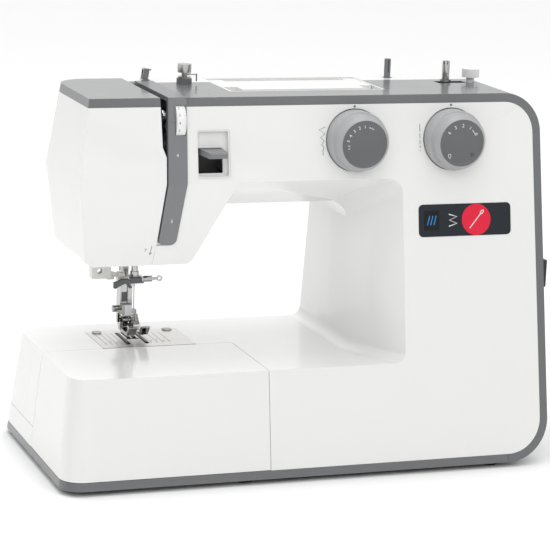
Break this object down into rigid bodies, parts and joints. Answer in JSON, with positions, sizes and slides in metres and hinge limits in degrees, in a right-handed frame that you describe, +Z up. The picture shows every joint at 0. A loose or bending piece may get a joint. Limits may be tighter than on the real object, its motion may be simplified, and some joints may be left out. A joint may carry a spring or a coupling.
{
  "type": "sewing machine",
  "caption": "Domestic free-arm sewing machine with stitch dials, handwheel, drop-in accessory tray, carry handle and power inlet.",
  "frame": {"origin": "centre of the bounding box's footprint, on the floor under the feet", "axes": "+X from the needle end to the handwheel, +Y from front to back, +Z up"},
  "size_m": [0.415, 0.192, 0.306],
  "materials": {
    "shell_white": "glossy",
    "band_grey": "glossy",
    "trim_grey": "satin",
    "dial_grey": "satin",
    "badge_dark": "glossy",
    "black_plastic": "satin",
    "clear_lens": "glossy",
    "rubber": "matte",
    "plate_steel": "brushed",
    "steel": "satin",
    "chrome": "polished",
    "cast_alloy": "satin",
    "bush_brass": "satin",
    "motor_paint": "satin"
  },
  "bodies": {
    "frame": {"base_pan": "band_grey", "rubber_feet": "rubber", "front_frame": "band_grey", "front_panel": "shell_white", "rear_cover": "shell_white", "face_cover": "shell_white", "face_cap": "band_grey", "thread_guide_strip": "trim_grey", "reverse_bezel": "shell_white", "badge_plate": "badge_dark", "needle_plate": "plate_steel", "screws": "chrome", "arm_casting": "cast_alloy", "shaft_bushes": "bush_brass", "drive_belts": "rubber", "motor": "motor_paint", "pivot_pins": "steel", "handle_well": "shell_white", "shuttle_race": "cast_alloy", "bobbin_case": "chrome", "winder_stop": "shell_white", "pretension_base": "shell_white", "top_thread_guides": "chrome", "led_lamp": "clear_lens", "power_inlet": "black_plastic"},
    "main_drive": {"main_shaft": "steel", "needle_crank": "steel", "handwheel": "trim_grey", "shaft_pulleys": "cast_alloy"},
    "lower_drive": {"lower_shaft": "steel"},
    "motor_drive": {"motor_pulley": "black_plastic"},
    "needle_swing": {"needle_bar_frame": "cast_alloy"},
    "needle_drive": {"needle_bar": "chrome", "needle_link": "steel", "needle_clamp": "chrome", "needle": "chrome"},
    "clamp_screw": {"clamp_screw": "chrome"},
    "take_up": {"take_up_lever": "chrome"},
    "lifter": {"presser_lifter": "trim_grey"},
    "presser": {"presser_bar": "chrome", "presser_ankle": "chrome", "presser_spring": "steel"},
    "presser_foot": {"presser_foot": "chrome"},
    "ankle_screw": {"ankle_screw": "chrome"},
    "hook": {"shuttle_hook": "steel"},
    "bobbin": {"bobbin": "clear_lens"},
    "feed": {"feed_dog": "steel"},
    "stitch_dial": {"stitch_dial": "dial_grey"},
    "length_dial": {"length_dial": "dial_grey"},
    "tension_dial": {"tension_dial": "shell_white"},
    "reverse_lever": {"reverse_lever": "trim_grey"},
    "carry_handle": {"carry_handle": "shell_white"},
    "spool_pin": {"spool_pin": "trim_grey"},
    "winder_arm": {"winder_arm": "black_plastic"},
    "winder_spindle": {"winder_spindle": "chrome"},
    "power_rocker": {"power_rocker": "black_plastic"},
    "accessory_tray": {"accessory_tray": "shell_white"},
    "shuttle_door": {"shuttle_door": "shell_white"},
    "needle_threader": {"needle_threader": "trim_grey"}
  },
  "joints": [
    {"name": "main_shaft_turn", "type": "hinge", "parent": "frame", "child": "main_drive", "pos_m": [0, 0.032, 0.236], "axis": [1, 0, 0], "continuous": true},
    {"name": "lower_shaft_turn", "type": "hinge", "parent": "frame", "child": "lower_drive", "pos_m": [0, 0.032, 0.045], "axis": [1, 0, 0], "continuous": true},
    {"name": "motor_turn", "type": "hinge", "parent": "frame", "child": "motor_drive", "pos_m": [0.16, -0.018, 0.062], "axis": [1, 0, 0], "continuous": true},
    {"name": "zigzag_swing", "type": "hinge", "parent": "frame", "child": "needle_swing", "pos_m": [-0.119, 0.045, 0.272], "axis": [0, 1, 0], "range_deg": [-1.2, 1.2]},
    {"name": "needle_bar_slide", "type": "slide", "parent": "needle_swing", "child": "needle_drive", "axis": [0, 0, 1], "range_m": [-0.03, 0]},
    {"name": "clamp_screw_turn", "type": "hinge", "parent": "needle_drive", "child": "clamp_screw", "pos_m": [-0.1045, 0.032, 0.1338], "axis": [1, 0, 0], "continuous": true},
    {"name": "take_up_swing", "type": "hinge", "parent": "frame", "child": "take_up", "pos_m": [-0.1233, 0.002, 0.234], "axis": [1, 0, 0], "range_deg": [0, 16]},
    {"name": "lifter_lever", "type": "hinge", "parent": "frame", "child": "lifter", "pos_m": [-0.122, 0.061, 0.19], "axis": [1, 0, 0], "range_deg": [-35, 0]},
    {"name": "presser_slide", "type": "slide", "parent": "frame", "child": "presser", "axis": [0, 0, 1], "range_m": [-0.0043, 0], "deforming": ["presser_spring"]},
    {"name": "foot_tilt", "type": "hinge", "parent": "presser", "child": "presser_foot", "pos_m": [-0.1225, 0.0394, 0.0995], "axis": [1, 0, 0], "range_deg": [-5, 0]},
    {"name": "ankle_screw_turn", "type": "hinge", "parent": "presser", "child": "ankle_screw", "pos_m": [-0.129, 0.046, 0.1074], "axis": [1, 0, 0], "continuous": true},
    {"name": "hook_swing", "type": "hinge", "parent": "frame", "child": "hook", "pos_m": [-0.119, 0.03, 0.053], "axis": [0, 1, 0], "range_deg": [-100, 100]},
    {"name": "bobbin_spin", "type": "hinge", "parent": "frame", "child": "bobbin", "pos_m": [-0.119, 0.02, 0.053], "axis": [0, 1, 0], "continuous": true},
    {"name": "feed_lift", "type": "slide", "parent": "frame", "child": "feed", "axis": [0, 0, 1], "range_m": [-0.003, 0]},
    {"name": "stitch_dial_turn", "type": "hinge", "parent": "frame", "child": "stitch_dial", "pos_m": [0.0284, -0.052, 0.2553], "axis": [0, -1, 0], "range_deg": [-165, 165]},
    {"name": "length_dial_turn", "type": "hinge", "parent": "frame", "child": "length_dial", "pos_m": [0.1086, -0.052, 0.2548], "axis": [0, -1, 0], "range_deg": [-150, 150]},
    {"name": "tension_dial_turn", "type": "hinge", "parent": "frame", "child": "tension_dial", "pos_m": [-0.111, -0.03865, 0.2705], "axis": [1, 0, 0], "range_deg": [-150, 150]},
    {"name": "reverse_press", "type": "hinge", "parent": "frame", "child": "reverse_lever", "pos_m": [-0.08555, -0.0283, 0.2485], "axis": [1, 0, 0], "range_deg": [0, 14], "stiffness_Nm_per_rad": 0.3, "springref_deg": -5.73},
    {"name": "handle_lift", "type": "hinge", "parent": "frame", "child": "carry_handle", "pos_m": [0, 0.043, 0.2825], "axis": [-1, 0, 0], "range_deg": [0, 90]},
    {"name": "spool_pin_slide", "type": "slide", "parent": "frame", "child": "spool_pin", "axis": [0, 0, 1], "range_m": [0, 0.03]},
    {"name": "winder_shift", "type": "slide", "parent": "frame", "child": "winder_arm", "axis": [1, 0, 0], "range_m": [0, 0.007]},
    {"name": "winder_spin", "type": "hinge", "parent": "winder_arm", "child": "winder_spindle", "pos_m": [0.131, 0.016, 0.29], "axis": [0, 0, 1], "continuous": true},
    {"name": "rocker_tilt", "type": "hinge", "parent": "frame", "child": "power_rocker", "pos_m": [0.1815, -0.05, 0.147], "axis": [0, 1, 0], "range_deg": [-4, 4]},
    {"name": "tray_slide", "type": "slide", "parent": "frame", "child": "accessory_tray", "axis": [-1, 0, 0], "range_m": [0, 0.16]},
    {"name": "door_swing", "type": "hinge", "parent": "frame", "child": "shuttle_door", "pos_m": [-0.119, 0.00785, 0.03175], "axis": [1, 0, 0], "range_deg": [0, 80]},
    {"name": "threader_slide", "type": "slide", "parent": "frame", "child": "needle_threader", "axis": [0, 0, 1], "range_m": [-0.03, 0], "stiffness_N_per_m": 30, "springref_m": 0.02}
  ],
  "couplings": [
    {"joint": "lower_shaft_turn", "follows": "main_shaft_turn", "ratio": 1},
    {"joint": "motor_turn", "follows": "main_shaft_turn", "ratio": 4},
    {"joint": "take_up_swing", "follows": "needle_bar_slide", "rad_per_m": -9.3},
    {"joint": "lifter_lever", "follows": "presser_slide", "rad_per_m": 142}
  ]
}
